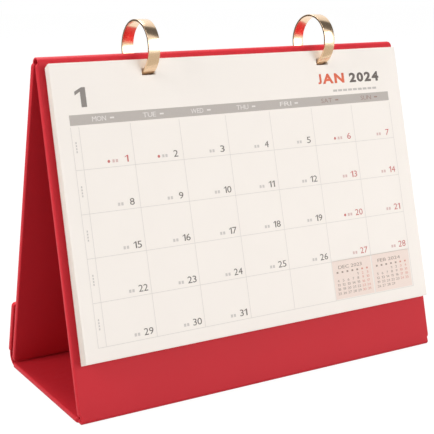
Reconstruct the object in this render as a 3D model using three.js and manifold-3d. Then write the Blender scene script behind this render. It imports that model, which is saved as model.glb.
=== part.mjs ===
// Standing desk calendar: a covered-board easel folded from one strip, a block of month leaves
// and two flat gold rings that hold the leaves at the ridge.
// Millimetres. X runs along the calendar, +Y from the leaves to the back, +Z up.
// The origin is on the table, under the middle of the calendar.
import * as THREE from "three";
import { mergeVertices } from "three/addons/utils/BufferGeometryUtils.js";
import Module from "manifold-3d";

const wasm = await Module();
wasm.setup();

// Easel
const coverWidth = 217.6;
const boardThickness = 2.8;
const skinThickness = 1;
const faceLength = 171.6;
const faceLean = THREE.MathUtils.degToRad(14.5);
const backLean = THREE.MathUtils.degToRad(12.3);
const ridgeWidth = 3.2;
const ridgeRadius = 1.8;
const footRadius = 0.3;
const footChannel = 1.8;
const heelRadius = 4.6;
const flapHeight = 36;
const flapGap = 2.6;
const seatGap = 0.3;

// Each board's corners in plan, the hinges' narrower ends, and the wrapped edges
const boardCorner = 2.2;
const hingeInset = 0.9;
const boardEdge = 0.8;

// Leaves
const leafWidth = 210;
const leafHeight = 138.8;
const leafTopDrop = 4.6;
const leafCount = 13;
const blockTopThickness = 4.6;
const blockBottomThickness = 6.2;
const leafStagger = 0.35;

// Rings
const ringOuterRadius = 13.9;
const ringThickness = 1;
const ringWidth = 6.3;
const ringSpacing = 106.2;
const ringRise = 2.3;
const ringSplit = 0.6;
const ringEdge = 0.2;

// Punched slots
const slotSideClearance = 0.6;
const slotTopClearance = 0.7;
const slotOverrun = 0.5;

const halfBoard = boardThickness / 2;
const ringInnerRadius = ringOuterRadius - ringThickness;
const leafBottom = faceLength - leafTopDrop - leafHeight;

// Directions in the side view, as (y, z): up the face, out of the face, up the back, out of the back
const faceUp = new THREE.Vector2(Math.sin(faceLean), Math.cos(faceLean));
const faceOut = new THREE.Vector2(-Math.cos(faceLean), Math.sin(faceLean));
const backUp = new THREE.Vector2(-Math.sin(backLean), Math.cos(backLean));
const backOut = new THREE.Vector2(Math.cos(backLean), Math.sin(backLean));

const along = (start, direction, distance) => start.clone().addScaledVector(direction, distance);

// Where two lines cross, each given by a point and a direction
function crossing(pointA, directionA, pointB, directionB) {
  const between = pointB.clone().sub(pointA);
  const distance = between.cross(directionB) / directionA.cross(directionB);
  return along(pointA, directionA, distance);
}

// Sharp corners of the strip's middle line, before its folds are rounded
const faceLine = along(new THREE.Vector2(0, 0), faceOut, -halfBoard);
const level = new THREE.Vector2(1, 0);
const floorLine = new THREE.Vector2(0, halfBoard);
const footCorner = crossing(faceLine, faceUp, floorLine, level);
const ridgeFront = along(faceLine, faceUp, faceLength - halfBoard);
const ridgeBack = ridgeFront.clone().add(new THREE.Vector2(ridgeWidth, 0));
const backSeat = crossing(ridgeBack, backUp, new THREE.Vector2(0, boardThickness + seatGap), level);
const backFoot = along(backSeat, backUp, halfBoard * Math.tan(backLean));
const flapLine = along(ridgeBack, backOut, boardThickness + flapGap);
const heelCorner = crossing(flapLine, backUp, floorLine, level);
const flapEnd = crossing(flapLine, backUp, new THREE.Vector2(0, flapHeight), level);

// The strip from the foot of the back, over the ridge and under the base, to the flap's end.
// A hinge lies at every fold, and the ridge is hinge from its first fold to its second. A sharp fold
// has a channel on either side, where the boards stand back from it
const folds = [
  { at: ridgeBack, radius: ridgeRadius, channel: 0 },
  { at: ridgeFront, radius: ridgeRadius, channel: 0 },
  { at: footCorner, radius: footRadius, channel: footChannel },
  { at: heelCorner, radius: heelRadius, channel: 0 },
];
const ridgeRun = 1;

// One station of the strip: its place, its direction, how far it is narrowed at each side, and
// how far its outer and inner faces lie from the middle line
function station(place, direction, inset, outer, inner) {
  return { place, direction, inset, outer, inner };
}

const hingeInner = halfBoard - skinThickness;

// The stations that round one fold
function foldStations(before, corner, after, radius) {
  const steps = 8;
  const arriving = corner.clone().sub(before).normalize();
  const leaving = after.clone().sub(corner).normalize();
  const turn = Math.atan2(arriving.cross(leaving), arriving.dot(leaving));
  const start = along(corner, arriving, -radius * Math.tan(Math.abs(turn) / 2));
  const normal = new THREE.Vector2(-arriving.y, arriving.x).multiplyScalar(Math.sign(turn));
  const centre = along(start, normal, radius);
  return Array.from({ length: steps + 1 }, (_, step) => {
    const angle = (turn * step) / steps;
    const place = start.clone().rotateAround(centre, angle);
    const direction = arriving.clone().rotateAround(new THREE.Vector2(), angle);
    return station(place, direction, hingeInset, halfBoard, hingeInner);
  });
}

// The stations at one end of a board, from its end inwards: its rounded corners in plan and its edge.
// A board's end at a hinge starts as narrow as the hinge; a free end starts at the corner's full depth
function boardEnd(end, inward, direction, free) {
  const steps = 6;
  const endInset = free ? boardCorner : hingeInset;
  const firstAngle = Math.asin(1 - endInset / boardCorner);
  return Array.from({ length: steps + 1 }, (_, step) => {
    const angle = firstAngle + ((Math.PI / 2 - firstAngle) * step) / steps;
    const distance = boardCorner * (Math.cos(firstAngle) - Math.cos(angle));
    const inset = boardCorner * (1 - Math.sin(angle));
    const short = Math.max(boardEdge - distance, 0);
    const trim = boardEdge - Math.sqrt(boardEdge ** 2 - short ** 2);
    const place = along(end, inward, distance + (free ? 0 : boardEdge / 4));
    return station(place, direction, inset, free ? halfBoard - trim : halfBoard, trim - halfBoard);
  });
}

function stripStations() {
  const arcs = folds.map((fold, index) => {
    const before = index === 0 ? backFoot : folds[index - 1].at;
    const after = index === folds.length - 1 ? flapEnd : folds[index + 1].at;
    return foldStations(before, fold.at, after, fold.radius);
  });
  const stations = [];
  for (let run = 0; run <= folds.length; run++) {
    const startsFree = run === 0;
    const endsFree = run === folds.length;
    const foldBefore = startsFree ? backFoot : arcs[run - 1].at(-1).place;
    const foldAfter = endsFree ? flapEnd : arcs[run][0].place;
    const direction = foldAfter.clone().sub(foldBefore).normalize();
    const start = along(foldBefore, direction, startsFree ? 0 : folds[run - 1].channel);
    const end = along(foldAfter, direction, endsFree ? 0 : -folds[run].channel);
    if (run !== ridgeRun) {
      stations.push(...boardEnd(start, direction, direction, startsFree));
      stations.push(...boardEnd(end, direction.clone().negate(), direction, endsFree).reverse());
    }
    if (!endsFree) {
      stations.push(...arcs[run]);
    }
  }
  return stations;
}

// The strip's section at one station: a rectangle with rounded edges
function stripRing({ place, direction, inset, outer, inner }) {
  const cornerSteps = 3;
  const halfWidth = coverWidth / 2 - inset;
  const round = Math.min(boardEdge, (outer - inner) * 0.45);
  const outward = new THREE.Vector2(direction.y, -direction.x);
  const corners = [
    { x: halfWidth - round, n: outer - round, turned: 0 },
    { x: round - halfWidth, n: outer - round, turned: 1 },
    { x: round - halfWidth, n: inner + round, turned: 2 },
    { x: halfWidth - round, n: inner + round, turned: 3 },
  ];
  return corners.flatMap(({ x, n, turned }) =>
    Array.from({ length: cornerSteps + 1 }, (_, step) => {
      const angle = (Math.PI / 2) * (turned + step / cornerSteps);
      const foot = along(place, outward, n + round * Math.sin(angle));
      return new THREE.Vector3(x + round * Math.cos(angle), foot.x, foot.y);
    }),
  );
}

// One leaf's outline at one depth of the block, which fans out from its top to its bottom
function leafRing(share, slip) {
  const left = slip.x - leafWidth / 2;
  const right = slip.x + leafWidth / 2;
  const low = leafBottom + slip.up;
  const high = low + leafHeight;
  const corner = (x, up, thickness) => {
    const foot = along(along(new THREE.Vector2(), faceUp, up), faceOut, seatGap + thickness * share);
    return new THREE.Vector3(x, foot.x, foot.y);
  };
  return [
    corner(right, low, blockBottomThickness),
    corner(right, high, blockTopThickness),
    corner(left, high, blockTopThickness),
    corner(left, low, blockBottomThickness),
  ];
}

// How far each leaf has slipped from the block's true outline
function leafSlip(leaf) {
  return {
    x: leafStagger * Math.sin(4.1 * leaf + 1),
    up: leafStagger * (Math.sin(2.3 * leaf) + (2 * leaf) / leafCount - 1),
  };
}

function leafRings() {
  const rings = [];
  for (let leaf = 0; leaf < leafCount; leaf++) {
    rings.push(leafRing(leaf / leafCount, leafSlip(leaf)));
    rings.push(leafRing((leaf + 1) / leafCount, leafSlip(leaf)));
  }
  return rings;
}

// A closed skin over a row of rings with equally many points, each end capped
function loft(rings) {
  const count = rings[0].length;
  const positions = rings.flat().flatMap((point) => point.toArray());
  const index = [];
  for (let row = 0; row + 1 < rings.length; row++) {
    for (let column = 0; column < count; column++) {
      const next = (column + 1) % count;
      const [a, b] = [row * count + column, row * count + next];
      index.push(a, b, b + count, a, b + count, a + count);
    }
  }
  const last = (rings.length - 1) * count;
  for (let column = 1; column + 1 < count; column++) {
    index.push(0, column + 1, column, last, last + column, last + column + 1);
  }
  const geometry = new THREE.BufferGeometry();
  geometry.setAttribute("position", new THREE.Float32BufferAttribute(positions, 3));
  geometry.setIndex(index);
  return geometry;
}

function toSolid(geometry) {
  const bare = geometry.clone();
  bare.deleteAttribute("normal");
  bare.deleteAttribute("uv");
  const merged = mergeVertices(bare, 1e-4);
  const vertProperties = new Float32Array(merged.attributes.position.array);
  const triVerts = new Uint32Array(merged.index.array);
  return new wasm.Manifold(new wasm.Mesh({ numProp: 3, vertProperties, triVerts }));
}

function toGeometry(solid) {
  const mesh = solid.getMesh();
  const geometry = new THREE.BufferGeometry();
  geometry.setAttribute("position", new THREE.BufferAttribute(new Float32Array(mesh.vertProperties), 3));
  geometry.setIndex(new THREE.BufferAttribute(new Uint32Array(mesh.triVerts), 1));
  geometry.computeVertexNormals();
  return geometry;
}

// The rings' common centre lies on the front of the face, so the bands pass straight through it
const ringCentre = along(new THREE.Vector2(0, 0), faceUp, faceLength + ringRise);
const ringPlaces = [-ringSpacing / 2, ringSpacing / 2];

// A straight punched slot: "down" runs along a panel away from the ridge, "through" across it.
// near and far say where the panel's two sides lie, measured through it from the rings' centre
function slotCutter(ringX, down, through, near, far) {
  const reach = Math.max(Math.abs(near), Math.abs(far));
  const lowEdge = ringOuterRadius + seatGap;
  const highEdge = Math.sqrt(ringInnerRadius ** 2 - reach ** 2) - slotTopClearance;
  const length = far - near + 2 * slotOverrun;
  const slot = new THREE.BoxGeometry(ringWidth + 2 * slotSideClearance, length, lowEdge - highEdge);
  const turned = new THREE.Matrix4().makeBasis(
    new THREE.Vector3(1, 0, 0),
    new THREE.Vector3(0, through.x, through.y),
    new THREE.Vector3(0, -down.x, -down.y),
  );
  slot.applyMatrix4(turned);
  const place = along(along(ringCentre, down, (lowEdge + highEdge) / 2), through, (near + far) / 2);
  slot.translate(ringX, place.x, place.y);
  return slot;
}

const backLineAway = ridgeBack.clone().sub(ringCentre).dot(backOut);
const slotCutters = ringPlaces.flatMap((ringX) => [
  slotCutter(ringX, faceUp.clone().negate(), faceOut.clone().negate(), -blockBottomThickness, boardThickness),
  slotCutter(ringX, backUp.clone().negate(), backOut, backLineAway - halfBoard, backLineAway + halfBoard),
]);

function cutSlots(geometry) {
  return toGeometry(slotCutters.reduce((solid, cutter) => solid.subtract(toSolid(cutter)), toSolid(geometry)));
}

// The easel: one strip of covered board, folded to a triangle, with its flap turned up behind
function makeCover() {
  return cutSlots(loft(stripStations().map(stripRing)));
}

// The block of leaves, all as one
function makeLeaves() {
  return cutSlots(loft(leafRings()));
}

// A flat band bent to a ring, with its split at the lowest point, inside the easel
function makeRing(ringX) {
  const halfSplit = ringSplit / 2 / ringOuterRadius;
  const splitAt = -Math.PI / 2;
  const arc = 2 * Math.PI - 2 * halfSplit;
  const steps = 72;
  const outer = [];
  const inner = [];
  for (let step = 0; step <= steps; step++) {
    const angle = splitAt + halfSplit + (arc * step) / steps;
    const spoke = new THREE.Vector2(Math.cos(angle), Math.sin(angle));
    outer.push(along(ringCentre, spoke, ringOuterRadius - ringEdge));
    inner.push(along(ringCentre, spoke, ringInnerRadius + ringEdge));
  }
  const geometry = new THREE.ExtrudeGeometry(new THREE.Shape([...outer, ...inner.reverse()]), {
    depth: ringWidth - 2 * ringEdge,
    bevelSize: ringEdge,
    bevelThickness: ringEdge,
    bevelSegments: 1,
  });
  geometry.translate(0, 0, ringEdge - ringWidth / 2);
  const sideViewToWorld = new THREE.Matrix4().makeBasis(
    new THREE.Vector3(0, 1, 0),
    new THREE.Vector3(0, 0, 1),
    new THREE.Vector3(1, 0, 0),
  );
  geometry.applyMatrix4(sideViewToWorld);
  geometry.translate(ringX, 0, 0);
  return toGeometry(toSolid(geometry));
}

const leatherette = new THREE.MeshStandardMaterial({ color: 0xc1313a, roughness: 0.55, metalness: 0 });
const paper = new THREE.MeshStandardMaterial({ color: 0xf3eee9, roughness: 0.8, metalness: 0 });
const gold = new THREE.MeshStandardMaterial({ color: 0xd6b48c, roughness: 0.2, metalness: 1 });

function named(name, geometry, material) {
  const mesh = new THREE.Mesh(geometry, material);
  mesh.name = name;
  return mesh;
}

const calendar = new THREE.Group();
calendar.name = "standing_desk_calendar";
calendar.add(named("cover", makeCover(), leatherette));
calendar.add(named("leaves", makeLeaves(), paper));
calendar.add(named("ring_left", makeRing(ringPlaces[0]), gold));
calendar.add(named("ring_right", makeRing(ringPlaces[1]), gold));

// The pieces are drawn from the foot of the face, and the whole is moved back to its middle
const bounds = new THREE.Box3().setFromObject(calendar);
const middle = bounds.getCenter(new THREE.Vector3());
for (const piece of calendar.children) {
  piece.geometry.translate(-middle.x, -middle.y, -bounds.min.z);
}

export default calendar;
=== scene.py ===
import math

import bmesh
import bpy
from bpy.props import FloatProperty, FloatVectorProperty, IntProperty, PointerProperty
from mathutils import Matrix, Vector


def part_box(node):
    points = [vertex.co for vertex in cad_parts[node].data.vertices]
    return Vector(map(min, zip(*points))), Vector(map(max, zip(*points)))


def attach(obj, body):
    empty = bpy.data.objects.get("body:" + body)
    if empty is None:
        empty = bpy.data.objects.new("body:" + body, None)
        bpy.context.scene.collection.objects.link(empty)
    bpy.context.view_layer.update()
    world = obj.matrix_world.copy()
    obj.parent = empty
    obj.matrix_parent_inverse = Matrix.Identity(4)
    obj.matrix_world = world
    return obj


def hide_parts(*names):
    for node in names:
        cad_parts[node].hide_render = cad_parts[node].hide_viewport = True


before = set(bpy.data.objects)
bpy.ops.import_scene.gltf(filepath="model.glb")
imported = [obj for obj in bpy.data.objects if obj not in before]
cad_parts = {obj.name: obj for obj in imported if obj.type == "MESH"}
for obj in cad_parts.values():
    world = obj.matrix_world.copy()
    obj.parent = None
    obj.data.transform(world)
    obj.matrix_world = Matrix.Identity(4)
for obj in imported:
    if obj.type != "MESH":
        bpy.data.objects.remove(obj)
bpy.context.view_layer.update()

bl_info = {
    "name": "Standing Desk Calendar",
    "version": (1, 0, 0),
    "blender": (4, 5, 0),
    "location": "View3D > Sidebar > Desk Calendar",
    "description": "Dresses a desk calendar: leatherette easel, month leaves, print and gold rings",
    "category": "Object",
}

MM = 0.001
BODY = "root"
RIGHT = Vector((1, 0, 0))

# The month that the front leaf shows starts on its first column
WEEKDAYS = ("MON", "TUE", "WED", "THU", "FRI", "SAT", "SUN")
MONTH_DAYS = 31
DAYS_IN_WEEK = 7
WEEKS = 5
WEEKEND_COLUMN = 5
HOLIDAYS = (1,)
MARKED_DAYS = (1, 2, 6, 20)


def linear(hex_colour):
    """A colour written as sRGB hex, as the linear values that Blender's sockets take."""
    channels = [int(hex_colour[place:place + 2], 16) / 255 for place in (1, 3, 5)]
    return [c / 12.92 if c <= 0.04045 else ((c + 0.055) / 1.055) ** 2.4 for c in channels]


def colour_property(name, description, hex_colour):
    """A colour that a user may change."""
    return FloatVectorProperty(
        name=name, description=description, subtype="COLOR", size=3, min=0, max=1,
        default=linear(hex_colour),
    )


def length_property(name, description, millimetres):
    """A length that a user may change, in metres."""
    return FloatProperty(name=name, description=description, unit="LENGTH", default=millimetres * MM)


class CalendarSizes(bpy.types.PropertyGroup):
    """Sizes of the leaves, the print and the rings."""

    leaf_count: IntProperty(name="Leaves", description="Leaves in the block", default=13, min=2)
    leaf_thickness: length_property("Leaf thickness", "Thickness of one leaf", 0.33)
    leaf_slip: length_property("Leaf slip", "How far a leaf may lie out of line", 0.45)
    band_thickness: length_property("Band thickness", "Thickness of the rings' metal band", 1.0)
    ring_split: length_property("Ring split", "Gap between a ring's two ends", 0.6)
    column_width: length_property("Column width", "Width of one day's cell", 27.13)
    row_height: length_property("Row height", "Height of one week's row", 20.58)
    grid_left: length_property("Grid left", "From the leaf's left edge to the first column", 11.24)
    grid_top: length_property("Grid top", "From the leaf's bottom edge to the first row's top", 109.2)
    line_width: length_property("Line width", "Width of a ruled line", 0.28)
    ink_thickness: length_property("Ink thickness", "Height of the printed ink", 0.02)


class CalendarColours(bpy.types.PropertyGroup):
    """Colours of the covering, the card, the inks and the metal."""

    covering: colour_property("Covering", "Red leatherette", "#CE2A35")
    card: colour_property("Card", "Uncoated card of the leaves", "#FBF4ED")
    month_ink: colour_property("Month ink", "Large number of the month", "#958E89")
    dark_ink: colour_property("Dark ink", "Day numbers and year", "#756D68")
    red_ink: colour_property("Red ink", "Weekend numbers", "#D07671")
    orange_ink: colour_property("Orange ink", "Name of the month", "#EC7455")
    bar_ink: colour_property("Bar ink", "Bar behind the weekdays", "#C3BBB5")
    weekday_ink: colour_property("Weekday ink", "Names of the weekdays on the bar", "#EFEAE6")
    weekend_ink: colour_property("Weekend ink", "Names of the weekend's days on the bar", "#A68D84")
    mark_ink: colour_property("Mark ink", "Plain marks beside the days", "#DAD3CE")
    weekend_mark_ink: colour_property(
        "Weekend mark ink", "Plain marks beside the weekend days and holidays", "#E3C6C1"
    )
    rule_ink: colour_property("Rule ink", "Broken rule under the year", "#CFC8C3")
    line_ink: colour_property("Line ink", "Ruled lines", "#E8E1DB")
    tint_ink: colour_property("Tint ink", "Panel behind the small months", "#F9E7DD")
    small_ink: colour_property("Small ink", "Numbers of the small months", "#AC978C")
    small_red_ink: colour_property("Small red ink", "Weekend numbers of the small months", "#E3A595")
    gold: colour_property("Gold", "Polished pale rose gold", "#F4D6B4")


class CalendarSettings(bpy.types.PropertyGroup):
    """All settings of the desk calendar."""

    sizes: PointerProperty(type=CalendarSizes)
    colours: PointerProperty(type=CalendarColours)


def settings():
    return bpy.context.scene.desk_calendar


def add_node(tree, kind, inputs=None, **values):
    """Adds a node; an input given as a socket is linked, any other is set."""
    node = tree.nodes.new(kind)
    for name, value in values.items():
        setattr(node, name, value)
    for name, value in (inputs or {}).items():
        if isinstance(value, bpy.types.NodeSocket):
            tree.links.new(value, node.inputs[name])
        else:
            node.inputs[name].default_value = value
    return node


def blank_material(name):
    """A material with no nodes but its output."""
    material = bpy.data.materials.new(name)
    material.use_nodes = True
    material.node_tree.nodes.clear()
    return material, material.node_tree


def shade(tree, colour, amount, factor):
    """A colour that darkens by amount where factor is 0 and stays where it is 1."""
    darker = [channel * (1 - amount) for channel in colour]
    tone = add_node(
        tree, "ShaderNodeMix", {"Factor": factor, "A": (*darker, 1), "B": (*colour, 1)}, data_type="RGBA",
    )
    return tone.outputs["Result"]


def red_leatherette():
    """PU leatherette glued over board: a soft satin with a fine pressed pebble grain."""
    material, tree = blank_material("red_leatherette")
    place = add_node(tree, "ShaderNodeTexCoord").outputs["Object"]
    pebble_spacing = 0.9 * MM
    cloud_size = 45 * MM
    pebbles = add_node(tree, "ShaderNodeTexVoronoi", {"Vector": place, "Scale": 1 / pebble_spacing})
    clouds = add_node(tree, "ShaderNodeTexNoise", {"Vector": place, "Scale": 1 / cloud_size, "Detail": 3})
    creases = add_node(
        tree, "ShaderNodeTexNoise", {"Vector": place, "Scale": 0.25 / pebble_spacing, "Detail": 4},
    )
    tone = shade(tree, settings().colours.covering, 0.08, clouds.outputs["Fac"])
    rough = add_node(
        tree, "ShaderNodeMapRange", {"Value": creases.outputs["Fac"], "To Min": 0.44, "To Max": 0.58},
    )
    grain = add_node(
        tree, "ShaderNodeBump",
        {"Height": pebbles.outputs["Distance"], "Strength": 0.35, "Distance": 0.06 * MM},
    )
    soft = add_node(
        tree, "ShaderNodeBump",
        {"Height": creases.outputs["Fac"], "Strength": 0.3, "Distance": 0.15 * MM,
         "Normal": grain.outputs["Normal"]},
    )
    shader = add_node(
        tree, "ShaderNodeBsdfPrincipled",
        {"Base Color": tone, "Roughness": rough.outputs["Result"], "IOR": 1.46,
         "Specular IOR Level": 0.2, "Normal": soft.outputs["Normal"]},
    )
    add_node(tree, "ShaderNodeOutputMaterial", {"Surface": shader.outputs["BSDF"]})
    return material


def uncoated_card():
    """Uncoated woodfree card: matt, warm white, with a faint cloudy formation and fibre tooth."""
    material, tree = blank_material("uncoated_card")
    place = add_node(tree, "ShaderNodeTexCoord").outputs["Object"]
    # Real fibres are about 0.03 mm wide, too fine to show, so they are drawn coarser
    fibre_size = 0.7 * MM
    cloud_size = 25 * MM
    fibres = add_node(tree, "ShaderNodeTexNoise", {"Vector": place, "Scale": 1 / fibre_size, "Detail": 5})
    clouds = add_node(tree, "ShaderNodeTexNoise", {"Vector": place, "Scale": 1 / cloud_size, "Detail": 2})
    tone = shade(tree, settings().colours.card, 0.025, clouds.outputs["Fac"])
    tooth = add_node(
        tree, "ShaderNodeBump",
        {"Height": fibres.outputs["Fac"], "Strength": 0.25, "Distance": 0.03 * MM},
    )
    shader = add_node(
        tree, "ShaderNodeBsdfPrincipled",
        {"Base Color": tone, "Roughness": 0.88, "IOR": 1.45, "Normal": tooth.outputs["Normal"]},
    )
    add_node(tree, "ShaderNodeOutputMaterial", {"Surface": shader.outputs["BSDF"]})
    return material


def printed_ink(name, colour):
    """Offset ink soaked into uncoated card: matt, and thinner where the fibres show through."""
    material, tree = blank_material(name)
    place = add_node(tree, "ShaderNodeTexCoord").outputs["Object"]
    # Drawn coarser than real fibres, as on the card
    fibre_size = 0.5 * MM
    fibres = add_node(tree, "ShaderNodeTexNoise", {"Vector": place, "Scale": 1 / fibre_size, "Detail": 3})
    tone = shade(tree, colour, 0.1, fibres.outputs["Fac"])
    shader = add_node(
        tree, "ShaderNodeBsdfPrincipled", {"Base Color": tone, "Roughness": 0.8, "IOR": 1.45},
    )
    add_node(tree, "ShaderNodeOutputMaterial", {"Surface": shader.outputs["BSDF"]})
    return material


def polished_rose_gold():
    """Brass band plated in pale rose gold and polished: mirror bright, with a faint rolling wave."""
    material, tree = blank_material("polished_rose_gold")
    place = add_node(tree, "ShaderNodeTexCoord").outputs["Object"]
    wave_length = 5 * MM
    haze_size = 1.2 * MM
    waves = add_node(tree, "ShaderNodeTexNoise", {"Vector": place, "Scale": 1 / wave_length, "Detail": 1})
    haze = add_node(tree, "ShaderNodeTexNoise", {"Vector": place, "Scale": 1 / haze_size, "Detail": 3})
    rough = add_node(
        tree, "ShaderNodeMapRange", {"Value": haze.outputs["Fac"], "To Min": 0.15, "To Max": 0.23},
    )
    rolling = add_node(
        tree, "ShaderNodeBump",
        {"Height": waves.outputs["Fac"], "Strength": 0.25, "Distance": 0.12 * MM},
    )
    shader = add_node(
        tree, "ShaderNodeBsdfPrincipled",
        {"Base Color": (*settings().colours.gold, 1), "Metallic": 1.0,
         "Roughness": rough.outputs["Result"], "Normal": rolling.outputs["Normal"]},
    )
    add_node(tree, "ShaderNodeOutputMaterial", {"Surface": shader.outputs["BSDF"]})
    return material


def studio_paper():
    """Seamless white paper under the calendar: white to the camera, but it keeps a soft shadow."""
    material, tree = blank_material("studio_paper")
    path = add_node(tree, "ShaderNodeLightPath")
    seen = add_node(
        tree, "ShaderNodeMath", {0: path.outputs["Is Camera Ray"], 1: path.outputs["Is Glossy Ray"]},
        operation="MAXIMUM",
    )
    glow_share = 0.85
    share = add_node(tree, "ShaderNodeMath", {0: seen.outputs[0], 1: glow_share}, operation="MULTIPLY")
    matt = add_node(tree, "ShaderNodeBsdfDiffuse", {"Color": (0.6, 0.6, 0.6, 1)})
    glow = add_node(tree, "ShaderNodeEmission", {"Color": (1, 1, 1, 1), "Strength": 1.12})
    both = add_node(
        tree, "ShaderNodeMixShader", {0: share.outputs[0], 1: matt.outputs[0], 2: glow.outputs[0]},
    )
    add_node(tree, "ShaderNodeOutputMaterial", {"Surface": both.outputs[0]})
    return material


def studio_card(name, colour):
    """Studio card of one tone, which stays out of the picture."""
    material, tree = blank_material(name)
    shader = add_node(tree, "ShaderNodeEmission", {"Color": colour, "Strength": 1})
    add_node(tree, "ShaderNodeOutputMaterial", {"Surface": shader.outputs["Emission"]})
    return material


def make_object(bm, name, material):
    """Writes a bmesh to a new object at the origin."""
    mesh = bpy.data.meshes.new(name)
    bm.to_mesh(mesh)
    bm.free()
    mesh.materials.append(material)
    piece = bpy.data.objects.new(name, mesh)
    bpy.context.scene.collection.objects.link(piece)
    return piece


def add_piece(bm, name, material, slot, *nodes):
    """A piece of the calendar: rides on its body, takes the material it is given and stands for its nodes;
    its slot is not used.
    """
    piece = make_object(bm, name, material)
    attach(piece, BODY)
    if nodes:
        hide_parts(*nodes)
    return piece


def shade_smooth(bm, crease_degrees):
    """Smooth shading that breaks at edges sharper than the crease angle."""
    crease = math.radians(crease_degrees)
    for face in bm.faces:
        face.smooth = True
    for edge in bm.edges:
        edge.smooth = len(edge.link_faces) == 2 and edge.calc_face_angle(0) < crease


class FlatSide:
    """The large flat side of a CAD node that faces a direction, with its own plane and outline."""

    def __init__(self, node, toward):
        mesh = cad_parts[node].data
        toward = Vector(toward).normalized()
        nearly_along = 0.95
        facing = [face for face in mesh.polygons if face.normal.dot(toward) > nearly_along]
        largest = max(facing, key=lambda face: face.area)
        out = largest.normal.normalized()
        up = RIGHT.cross(out)
        if up.z < 0:
            up.negate()
        tolerance = 0.01 * MM
        on_plane = [
            vertex.co for vertex in mesh.vertices
            if abs((vertex.co - largest.center).dot(out)) < tolerance
        ]
        across = [co.dot(RIGHT) for co in on_plane]
        along = [co.dot(up) for co in on_plane]
        left, low = min(across), min(along)
        self.width = max(across) - left
        self.height = max(along) - low
        corner = RIGHT * left + up * low + out * largest.center.dot(out)
        self.to_world = Matrix((RIGHT, up, out)).transposed().to_4x4()
        self.to_world.translation = corner
        inner = [
            (x - left, y - low) for x, y in zip(across, along)
            if tolerance < x - left < self.width - tolerance
            and tolerance < y - low < self.height - tolerance
        ]
        self.holes = [self.box_of(half) for half in (
            [point for point in inner if point[0] < self.width / 2],
            [point for point in inner if point[0] > self.width / 2],
        ) if half]

    @staticmethod
    def box_of(points):
        xs, ys = zip(*points)
        return min(xs), min(ys), max(xs), max(ys)

    def place(self, x, y, lift=0.0):
        return self.to_world @ Vector((x, y, lift))


# About where the easel's face and the leaves on it look: to the reader and a little up
FACE_OUT = (0, -1, 0.255)


def front_leaf():
    return FlatSide("leaves", FACE_OUT)


def back_leaf():
    return FlatSide("leaves", [-part for part in FACE_OUT])


def cut_at(bm, point, normal):
    geometry = [*bm.verts, *bm.edges, *bm.faces]
    bmesh.ops.bisect_plane(bm, geom=geometry, dist=1e-7, plane_co=point, plane_no=normal)


def flat_sheet(width, height, holes, bends):
    """A sheet from (0, 0) to (width, height), with its holes punched and cuts across where it bends."""
    bm = bmesh.new()
    centre = Matrix.Translation((width / 2, height / 2, 0)) @ Matrix.Diagonal((width, height, 1, 1))
    bmesh.ops.create_grid(bm, x_segments=1, y_segments=1, size=0.5, matrix=centre)
    for left, low, right, high in holes:
        for x in (left, right):
            cut_at(bm, (x, 0, 0), (1, 0, 0))
        for y in (low, high):
            cut_at(bm, (0, y, 0), (0, 1, 0))
    for step in range(1, bends):
        cut_at(bm, (0, height * step / bends, 0), (0, 1, 0))
    punched = [
        face for face in bm.faces
        if any(
            left < face.calc_center_median().x < right and low < face.calc_center_median().y < high
            for left, low, right, high in holes
        )
    ]
    bmesh.ops.delete(bm, geom=punched, context="FACES")
    return bm


def thicken(bm, thickness):
    """Turns a flat sheet into a closed slab that reaches from z = 0 to its thickness."""
    grown = bmesh.ops.extrude_face_region(bm, geom=bm.faces[:], use_keep_orig=True)
    raised = [item for item in grown["geom"] if isinstance(item, bmesh.types.BMVert)]
    bmesh.ops.translate(bm, verts=raised, vec=(0, 0, thickness))
    bmesh.ops.recalc_face_normals(bm, faces=bm.faces[:])


def append(bm, part):
    """Adds one bmesh's geometry to another and frees it."""
    mesh = bpy.data.meshes.new("part")
    part.to_mesh(mesh)
    part.free()
    bm.from_mesh(mesh)
    bpy.data.meshes.remove(mesh)


class DESKCAL_OT_cover(bpy.types.Operator):
    """Dress the folded easel in red leatherette"""

    bl_idname = "deskcal.cover"
    bl_label = "Cover"

    weld_distance = 0.002 * MM

    def execute(self, context):
        bm = bmesh.new()
        bm.from_mesh(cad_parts["cover"].data)
        bmesh.ops.remove_doubles(bm, verts=bm.verts[:], dist=self.weld_distance)
        shade_smooth(bm, crease_degrees=40)
        cover = add_piece(bm, "leatherette_cover", red_leatherette(), "cover", "cover")
        even = cover.modifiers.new("even_shading", "WEIGHTED_NORMAL")
        even.keep_sharp = True
        even.weight = 100
        return {"FINISHED"}


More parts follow.
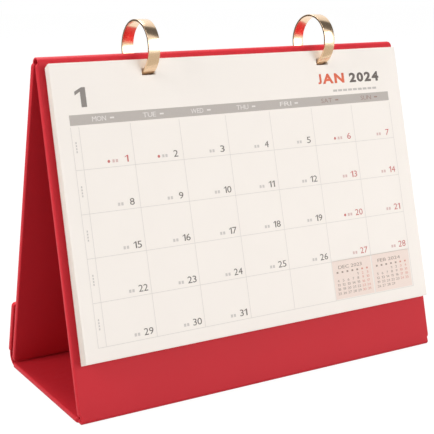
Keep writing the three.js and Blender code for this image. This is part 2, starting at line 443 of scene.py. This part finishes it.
class DESKCAL_OT_leaves(bpy.types.Operator):
    """Stack the loose month leaves on the easel's face"""

    bl_idname = "deskcal.leaves"
    bl_label = "Leaves"

    # How far the middle of the block bows out, since loose leaves hold air
    swell = 0.35 * MM

    def execute(self, context):
        sizes = settings().sizes
        front, back = front_leaf(), back_leaf()
        block = bmesh.new()
        last = sizes.leaf_count - 1
        for leaf in range(sizes.leaf_count):
            sheet = flat_sheet(front.width, front.height, front.holes, bends=12)
            thicken(sheet, sizes.leaf_thickness)
            # The front leaf lies in line, and the one under it slips half as far as the rest.
            # The sines scatter the leaves in the same way each time.
            fade = min(1, (last - leaf) / 2)
            slip_x = sizes.leaf_slip * fade * math.sin(4.1 * leaf + 1)
            slip_y = sizes.leaf_slip * fade * math.sin(2.3 * leaf + 2)
            for vertex in sheet.verts:
                x, y, lift = vertex.co
                tall = y / front.height
                share = leaf / last
                under_front = front.place(x + slip_x, y + slip_y, -sizes.leaf_thickness)
                on_back = back.place(x + slip_x, y + slip_y)
                resting = on_back.lerp(under_front, share)
                swell = self.swell * math.sin(math.pi * tall) * math.sin(math.pi * share)
                out = front.to_world.to_3x3() @ Vector((0, 0, lift + swell))
                vertex.co = resting + out
            append(block, sheet)
        shade_smooth(block, crease_degrees=30)
        add_piece(block, "month_leaves", uncoated_card(), "leaves", "leaves")
        return {"FINISHED"}


class DESKCAL_OT_rings(bpy.types.Operator):
    """Bend the flat gold bands to rings through the leaves and the easel"""

    bl_idname = "deskcal.rings"
    bl_label = "Rings"

    steps = 180
    # Rounding of the band's edges, as a share of its thickness
    edge_share = 0.08

    def execute(self, context):
        sizes = settings().sizes
        gold = polished_rose_gold()
        for node in ("ring_left", "ring_right"):
            low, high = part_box(node)
            centre = (low + high) / 2
            outer = (high.z - low.z) / 2
            width = high.x - low.x
            half_split = sizes.ring_split / 2 / outer
            bm = bmesh.new()
            middle = outer - sizes.band_thickness / 2
            section = Matrix.Translation((0, 0, -middle)) @ Matrix.Rotation(math.pi / 2, 4, "X")
            section = section @ Matrix.Diagonal((width, sizes.band_thickness, 1, 1))
            bmesh.ops.create_grid(bm, x_segments=1, y_segments=1, size=0.5, matrix=section)
            bmesh.ops.bevel(
                bm, geom=bm.verts[:], offset=self.edge_share * sizes.band_thickness, segments=3,
                profile=0.5, affect="VERTICES", material=-1,
            )
            bmesh.ops.rotate(
                bm, verts=bm.verts[:], cent=(0, 0, 0), matrix=Matrix.Rotation(half_split, 3, "X"),
            )
            bmesh.ops.spin(
                bm, geom=[*bm.verts, *bm.edges, *bm.faces], cent=(0, 0, 0), axis=(1, 0, 0),
                angle=2 * (math.pi - half_split), steps=self.steps, use_merge=False,
            )
            bmesh.ops.recalc_face_normals(bm, faces=bm.faces[:])
            bmesh.ops.translate(bm, verts=bm.verts[:], vec=centre)
            shade_smooth(bm, crease_degrees=35)
            add_piece(bm, "gold_" + node, gold, "rings", node)
        return {"FINISHED"}


def moved(box, columns, rows=0):
    """A box of cells, given as left, top, right and bottom, moved across and down."""
    left, top, right, bottom = box
    return left + columns, top + rows, right + columns, bottom + rows


class Print:
    """One ink's print on the front leaf, drawn in cells: column across, row down."""

    # Shared by all inks: the letters' flat meshes and the leaf they are printed on
    letterings = {}
    leaf = None
    first_lift = 0.015 * MM
    # Print on print lies this many ink thicknesses higher
    level_step = 1.5
    # Widths over the line's height
    letter_gap = 0.1
    space_width = 0.25
    one_stem = 0.16

    def __init__(self, level=0):
        self.sizes = settings().sizes
        Print.leaf = Print.leaf or front_leaf()
        self.lift = self.first_lift + level * self.level_step * self.sizes.ink_thickness
        self.bm = bmesh.new()

    def stamp(self, sheet, left, top, right, bottom):
        """Fits a flat bmesh to a box of cells and lays it on the leaf as a thin solid."""
        sizes = self.sizes
        xs = [vertex.co.x for vertex in sheet.verts]
        ys = [vertex.co.y for vertex in sheet.verts]
        low_x, span_x = min(xs), max(xs) - min(xs)
        low_y, span_y = min(ys), max(ys) - min(ys)
        thicken(sheet, sizes.ink_thickness)
        for vertex in sheet.verts:
            column = left + (right - left) * (vertex.co.x - low_x) / span_x
            row = bottom + (top - bottom) * (vertex.co.y - low_y) / span_y
            x = sizes.grid_left + column * sizes.column_width
            y = sizes.grid_top - row * sizes.row_height
            vertex.co = self.leaf.place(x, y, vertex.co.z + self.lift)
        append(self.bm, sheet)

    def box(self, left, top, right, bottom):
        self.stamp(flat_sheet(1, 1, (), 1), left, top, right, bottom)

    def dot(self, column, row, radius):
        disc = bmesh.new()
        bmesh.ops.create_circle(disc, cap_ends=True, segments=20, radius=1)
        across = radius / self.sizes.column_width
        down = radius / self.sizes.row_height
        self.stamp(disc, column - across, row - down, column + across, row + down)

    def words(self, text, left, top, right, bottom, weight=0.0):
        """Sets a line of capitals or digits, each as tall as the line and as wide as it is by nature."""
        glyphs = [self.glyph(letter, weight) for letter in text]
        widths = [self.natural_width(glyph) for glyph in glyphs]
        scale = (right - left) / (sum(widths) + self.letter_gap * (len(widths) - 1))
        start = left
        for glyph, width in zip(glyphs, widths):
            if glyph.faces:
                self.stamp(glyph, start, top, start + width * scale, bottom)
            start += (width + self.letter_gap) * scale

    def natural_width(self, glyph):
        """A glyph's width over its height; a glyph without faces is a space."""
        if not glyph.faces:
            return self.space_width
        xs = [vertex.co.x for vertex in glyph.verts]
        ys = [vertex.co.y for vertex in glyph.verts]
        return (max(xs) - min(xs)) / (max(ys) - min(ys))

    def glyph(self, letter, weight):
        if letter == "1":
            return self.flagged_one(self.one_stem + 2 * weight)
        return self.lettering(letter, weight)

    def flagged_one(self, stem):
        """The digit 1 with a flag, which the built-in font lacks; stem is its width over its height."""
        flag_reach = 0.24
        flag_tip = 0.8
        flag_root = 0.98
        flag_thickness = 0.8 * stem
        width = flag_reach + stem
        outline = (
            (0, flag_tip - flag_thickness), (flag_reach, flag_root - flag_thickness), (flag_reach, 0),
            (width, 0), (width, 1), (width - 0.7 * stem, 1), (0, flag_tip),
        )
        bm = bmesh.new()
        corners = [bmesh.ops.create_vert(bm, co=(x, y, 0))["vert"][0] for x, y in outline]
        bm.faces.new(corners).normal_update()
        bmesh.ops.triangulate(bm, faces=bm.faces[:])
        return bm

    def lettering(self, text, weight):
        """Plain letters in Blender's own font, as flat faces."""
        key = (text, weight)
        if key not in Print.letterings:
            curve = bpy.data.curves.new("lettering", "FONT")
            curve.body = text
            curve.offset = weight
            curve.resolution_u = 3
            holder = bpy.data.objects.new("lettering", curve)
            bpy.context.scene.collection.objects.link(holder)
            graph = bpy.context.evaluated_depsgraph_get()
            Print.letterings[key] = bpy.data.meshes.new_from_object(holder.evaluated_get(graph))
            bpy.data.objects.remove(holder)
            bpy.data.curves.remove(curve)
        flat = bmesh.new()
        flat.from_mesh(Print.letterings[key])
        bmesh.ops.remove_doubles(flat, verts=flat.verts[:], dist=1e-5)
        return flat

    def finish(self, name, colour):
        add_piece(self.bm, name, printed_ink(name + "_ink", colour), "leaves")


def number_width(number, digit_width):
    """Width of a number; a one is narrower than its other digits."""
    one_share = 0.75
    digits = str(number)
    ones = digits.count("1")
    return digit_width * (len(digits) - ones + one_share * ones)


class DESKCAL_OT_grid(bpy.types.Operator):
    """Rule the month's cells and the bar behind the weekdays"""

    bl_idname = "deskcal.grid"
    bl_label = "Grid and Bar"

    # The strip left of the first column, as a share of a column
    week_strip = 0.155
    upright_top = 0.03
    bar_top = -0.25
    bar_bottom = -0.012

    def execute(self, context):
        colours = settings().colours
        sizes = settings().sizes
        lines = Print()
        half_column = sizes.line_width / sizes.column_width / 2
        half_row = sizes.line_width / sizes.row_height / 2
        for column in (-self.week_strip, *range(DAYS_IN_WEEK + 1)):
            lines.box(column - half_column, self.upright_top, column + half_column, WEEKS)
        for row in range(1, WEEKS + 1):
            lines.box(-self.week_strip, row - half_row, DAYS_IN_WEEK, row + half_row)
        lines.finish("ruled_lines", colours.line_ink)
        bar = Print()
        bar.box(-self.week_strip, self.bar_top, DAYS_IN_WEEK, self.bar_bottom)
        bar.finish("weekday_bar", colours.bar_ink)
        return {"FINISHED"}


class DESKCAL_OT_heading(bpy.types.Operator):
    """Print the month's number and name, the year and the weekdays"""

    bl_idname = "deskcal.heading"
    bl_label = "Heading"

    # Boxes in cells: left, top, right, bottom
    number_box = (0.0, -0.87, 0.21, -0.415)
    name_box = (5.26, -0.825, 5.915, -0.565)
    year_box = (6.045, -0.812, 6.805, -0.56)
    rule_block = (5.6, -0.4, 5.7, -0.345)
    rule_step = 0.126
    rule_blocks = 9
    weekday_box = (0.272, -0.187, 0.54, -0.075)
    weekday_mark = (0.62, -0.15, 0.7, -0.112)
    bold = 0.042

    def execute(self, context):
        colours = settings().colours
        month, dark, orange = Print(), Print(), Print()
        month.words("1", *self.number_box, weight=0.04)
        dark.words("2024", *self.year_box, weight=self.bold)
        orange.words("JAN", *self.name_box, weight=self.bold)
        faint = Print()
        for block in range(self.rule_blocks):
            faint.box(*moved(self.rule_block, self.rule_step * block))
        month.finish("month_number", colours.month_ink)
        dark.finish("year", colours.dark_ink)
        orange.finish("month_name", colours.orange_ink)
        faint.finish("plain_rule", colours.rule_ink)
        pale, red = Print(level=1), Print(level=1)
        for column, weekday in enumerate(WEEKDAYS):
            ink = pale if column < WEEKEND_COLUMN else red
            ink.words(weekday, *moved(self.weekday_box, column))
            ink.box(*moved(self.weekday_mark, column))
        pale.finish("weekday_names", colours.weekday_ink)
        red.finish("weekend_names", colours.weekend_ink)
        return {"FINISHED"}


class DESKCAL_OT_dates(bpy.types.Operator):
    """Print the day numbers with a plain mark beside each"""

    bl_idname = "deskcal.dates"
    bl_label = "Dates"

    # Places and boxes in cells, from the day's own cell; a box is left, top, right, bottom
    centre = 0.845
    baseline = 0.915
    digit_width = 0.092
    digit_height = 0.158
    mark = (0.561, 0.83, 0.605, 0.9)
    mark_step = 0.064
    marks_beside_day = 2
    dot_column = 0.49
    dot_row = 0.865
    dot_radius = 0.7 * MM
    # Marks in the strip left of each week
    strip_mark = (-0.1, 0.36, -0.075, 0.405)
    strip_step = 0.068
    marks_beside_week = 4

    def execute(self, context):
        colours = settings().colours
        dark, red = Print(), Print()
        faint, faint_red = Print(), Print()
        for day in range(1, MONTH_DAYS + 1):
            row, column = divmod(day - 1, DAYS_IN_WEEK)
            is_red = column >= WEEKEND_COLUMN or day in HOLIDAYS
            ink = red if is_red else dark
            marks = faint_red if is_red else faint
            half = number_width(day, self.digit_width) / 2
            middle = column + self.centre
            foot = row + self.baseline
            ink.words(str(day), middle - half, foot - self.digit_height, middle + half, foot)
            for step in range(self.marks_beside_day):
                marks.box(*moved(self.mark, column + step * self.mark_step, row))
            if day in MARKED_DAYS:
                red.dot(column + self.dot_column, row + self.dot_row, self.dot_radius)
        for week in range(WEEKS):
            for step in range(self.marks_beside_week):
                faint.box(*moved(self.strip_mark, 0, week + step * self.strip_step))
        dark.finish("day_numbers", colours.dark_ink)
        red.finish("weekend_numbers", colours.red_ink)
        faint.finish("plain_marks", colours.mark_ink)
        faint_red.finish("weekend_marks", colours.weekend_mark_ink)
        return {"FINISHED"}


class DESKCAL_OT_small_months(bpy.types.Operator):
    """Print the months before and after as small tables on tinted panels"""

    bl_idname = "deskcal.small_months"
    bl_label = "Small Months"

    # Column of the panel, title, weekday that the month starts on, and its days
    months = ((5, "DEC 2023", 4, 31), (6, "FEB 2024", 3, 29))
    # Places and boxes in cells, from the panel's column; a box is left, top, right, bottom
    panel_box = (0.01, 3.995, 0.975, 4.98)
    title_box = (0.15, 4.13, 0.74, 4.215)
    weekday_mark = (0.093, 4.28, 0.137, 4.325)
    first_column = 0.115
    pitch = 0.124
    first_baseline = 4.44
    line_step = 0.108
    digit_width = 0.043
    digit_height = 0.064

    def execute(self, context):
        tint = Print()
        dark, red = Print(level=1), Print(level=1)
        for panel, title, start, days in self.months:
            tint.box(*moved(self.panel_box, panel))
            dark.words(title, *moved(self.title_box, panel))
            for day in range(1, days + 1):
                line, column = divmod(start + day - 1, DAYS_IN_WEEK)
                middle = panel + self.first_column + self.pitch * column
                half = number_width(day, self.digit_width) / 2
                foot = self.first_baseline + self.line_step * line
                ink = red if column >= WEEKEND_COLUMN else dark
                ink.words(str(day), middle - half, foot - self.digit_height, middle + half, foot)
            for column in range(DAYS_IN_WEEK):
                ink = red if column >= WEEKEND_COLUMN else dark
                ink.box(*moved(self.weekday_mark, panel + self.pitch * column))
        colours = settings().colours
        tint.finish("tinted_panels", colours.tint_ink)
        dark.finish("small_month_numbers", colours.small_ink)
        red.finish("small_weekend_numbers", colours.small_red_ink)
        return {"FINISHED"}


class DESKCAL_OT_camera(bpy.types.Operator):
    """Set the camera where the photograph was taken from"""

    bl_idname = "deskcal.camera"
    bl_label = "Camera"

    location = Vector((-294.6, -435.0, 206.2)) * MM
    turn = math.radians(29.08)
    dip = math.radians(12.22)
    sensor = 36
    frame_pixels = 434
    focal_pixels = 1012.3
    # Where the lens axis meets the frame, in pixels from its left and top
    axis_pixel = (140.2, 187.6)

    def execute(self, context):
        data = bpy.data.cameras.new("camera")
        data.lens = self.sensor * self.focal_pixels / self.frame_pixels
        data.sensor_width = self.sensor
        data.shift_x = 0.5 - self.axis_pixel[0] / self.frame_pixels
        data.shift_y = self.axis_pixel[1] / self.frame_pixels - 0.5
        data.clip_start = 0.01
        camera = bpy.data.objects.new("camera", data)
        context.scene.collection.objects.link(camera)
        camera.location = self.location
        camera.rotation_euler = (math.pi / 2 - self.dip, 0, -self.turn)
        context.scene.camera = camera
        return {"FINISHED"}


class DESKCAL_OT_stage(bpy.types.Operator):
    """Lay the white floor and light it softly"""

    bl_idname = "deskcal.stage"
    bl_label = "Stage"

    floor_width = 8
    # Name, place in metres, size in metres and power in watts
    lamps = (
        ("front_softbox", (0.85, -1.42, 0.5), 1.2, 13),
        ("left_fill", (-1.5, 0.0, 0.95), 0.8, 15),
        ("top_lamp", (0.1, 0.75, 1.5), 0.8, 23),
    )
    lamp_target = Vector((0, 0, 0.08))
    # The rings' rims mirror the dark card, and their fronts mirror the grey one.
    # Name, tone, width and depth in metres, place in metres and turn about X.
    cards = (
        ("dark_card", (0.13, 0.11, 0.1, 1), 0.9, 0.24, (-0.35, 0.45, 0.12), math.pi / 2),
        ("grey_card", (0.66, 0.62, 0.55, 1), 0.7, 0.54, (0.2, -0.33, 0.002), 0),
    )
    # What metal sees all round: a direction, from 0 in front to 1 behind, and its grey
    mirrored_greys = ((0.15, 1), (0.215, 0.8), (0.25, 0.14), (0.52, 0.12), (0.56, 0.8), (0.75, 1))

    def execute(self, context):
        self.lay_floor()
        for name, tone, width, depth, location, turn in self.cards:
            place = Matrix.Translation(location) @ Matrix.Rotation(turn, 4, "X")
            self.place_card(name, tone, width, depth, place)
        for name, location, size, power in self.lamps:
            self.hang_lamp(name, location, size, power)
        self.light_world(context.scene)
        context.scene.view_settings.view_transform = "Standard"
        return {"FINISHED"}

    def lay_floor(self):
        bm = bmesh.new()
        bmesh.ops.create_grid(bm, x_segments=1, y_segments=1, size=self.floor_width / 2)
        floor = make_object(bm, "floor", studio_paper())

    def place_card(self, name, tone, width, depth, place):
        """A plain card out of the picture that only shiny surfaces mirror."""
        bm = bmesh.new()
        shape = place @ Matrix.Diagonal((width, depth, 1, 1))
        bmesh.ops.create_grid(bm, x_segments=1, y_segments=1, size=0.5, matrix=shape)
        card = make_object(bm, name, studio_card(name, tone))
        card.visible_camera = False
        card.visible_diffuse = False
        card.visible_shadow = False

    def hang_lamp(self, name, location, size, power):
        """A square soft lamp that looks at the calendar."""
        data = bpy.data.lights.new(name, "AREA")
        data.size = size
        data.energy = power
        lamp = bpy.data.objects.new(name, data)
        bpy.context.scene.collection.objects.link(lamp)
        lamp.location = location
        lamp.rotation_euler = (self.lamp_target - lamp.location).to_track_quat("-Z", "Y").to_euler()

    def light_world(self, scene):
        """Soft light from all round. Metal also sees a dark band between the front light and the back."""
        world = bpy.data.worlds.new("studio")
        scene.world = world
        world.use_nodes = True
        tree = world.node_tree
        tree.nodes.clear()
        path = add_node(tree, "ShaderNodeLightPath")
        direction = add_node(tree, "ShaderNodeTexCoord").outputs["Generated"]
        depth = add_node(tree, "ShaderNodeSeparateXYZ", {"Vector": direction}).outputs["Y"]
        share = add_node(tree, "ShaderNodeMapRange", {"Value": depth, "From Min": -1, "From Max": 1})
        ramp = add_node(tree, "ShaderNodeValToRGB", {"Fac": share.outputs["Result"]})
        stops = ramp.color_ramp.elements
        first, *between, last = self.mirrored_greys
        for stop, (position, grey) in zip(stops, (first, last)):
            stop.position = position
            stop.color = (grey, grey, grey, 1)
        for position, grey in between:
            stops.new(position).color = (grey, grey, grey, 1)
        soft = add_node(tree, "ShaderNodeBackground", {"Color": (1, 0.99, 0.975, 1), "Strength": 0.48})
        mirrored = add_node(tree, "ShaderNodeBackground", {"Color": ramp.outputs["Color"], "Strength": 1.05})
        backdrop = add_node(tree, "ShaderNodeBackground", {"Color": (1, 1, 1, 1), "Strength": 1})
        lit = add_node(
            tree, "ShaderNodeMixShader",
            {0: path.outputs["Is Glossy Ray"], 1: soft.outputs[0], 2: mirrored.outputs[0]},
        )
        seen = add_node(
            tree, "ShaderNodeMixShader",
            {0: path.outputs["Is Camera Ray"], 1: lit.outputs[0], 2: backdrop.outputs[0]},
        )
        add_node(tree, "ShaderNodeOutputWorld", {"Surface": seen.outputs[0]})


OPERATORS = (
    DESKCAL_OT_camera,
    DESKCAL_OT_cover,
    DESKCAL_OT_leaves,
    DESKCAL_OT_rings,
    DESKCAL_OT_grid,
    DESKCAL_OT_heading,
    DESKCAL_OT_dates,
    DESKCAL_OT_small_months,
    DESKCAL_OT_stage,
)


class DESKCAL_PT_panel(bpy.types.Panel):
    """Lists the calendar's pieces, sizes and colours"""

    bl_idname = "DESKCAL_PT_panel"
    bl_label = "Desk Calendar"
    bl_space_type = "VIEW_3D"
    bl_region_type = "UI"
    bl_category = "Desk Calendar"

    def draw(self, context):
        calendar = context.scene.desk_calendar
        for group in (calendar.sizes, calendar.colours):
            box = self.layout.box()
            for name in group.__annotations__:
                box.prop(group, name)
        for operator in OPERATORS:
            self.layout.operator(operator.bl_idname)


CLASSES = (CalendarSizes, CalendarColours, CalendarSettings, *OPERATORS, DESKCAL_PT_panel)


def register():
    for cls in CLASSES:
        bpy.utils.register_class(cls)
    bpy.types.Scene.desk_calendar = PointerProperty(type=CalendarSettings)


def unregister():
    del bpy.types.Scene.desk_calendar
    for cls in reversed(CLASSES):
        bpy.utils.unregister_class(cls)


def main():
    register()
    bpy.ops.deskcal.camera()
    bpy.ops.deskcal.cover()
    bpy.ops.deskcal.leaves()
    bpy.ops.deskcal.rings()
    bpy.ops.deskcal.grid()
    bpy.ops.deskcal.heading()
    bpy.ops.deskcal.dates()
    bpy.ops.deskcal.small_months()
    bpy.ops.deskcal.stage()


if __name__ == "__main__":
    main()
